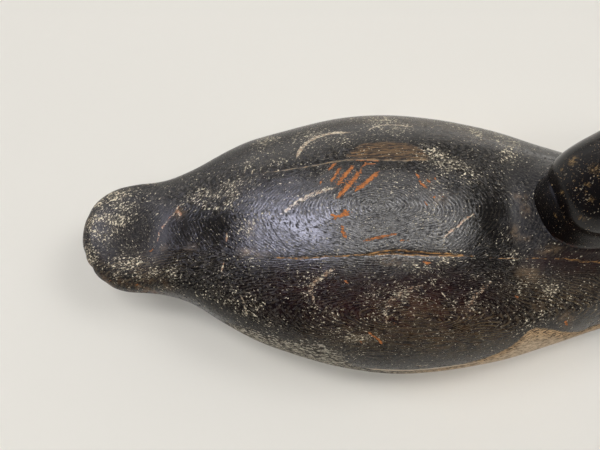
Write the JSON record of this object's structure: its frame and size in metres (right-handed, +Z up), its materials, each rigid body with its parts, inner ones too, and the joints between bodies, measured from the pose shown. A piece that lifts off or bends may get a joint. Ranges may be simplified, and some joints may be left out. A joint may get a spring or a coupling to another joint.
{
  "type": "duck decoy",
  "caption": "Carved wooden diving-duck decoy with a flat underside, paddle tail and turned head, for floating or display.",
  "frame": {"origin": "centre of the overall length and width, on the flat underside", "axes": "+X from the tail to the breast, +Y to the duck's left, +Z up"},
  "size_m": [0.35, 0.151, 0.1443],
  "materials": {
    "body_paint": "worn black paint, satin",
    "head_paint": "worn black paint with a slate bill, satin",
    "eye_glass": "glossy amber"
  },
  "bodies": {
    "root": {"body": "body_paint", "head": "head_paint", "left_eye": "eye_glass", "right_eye": "eye_glass"}
  },
  "joints": []
}
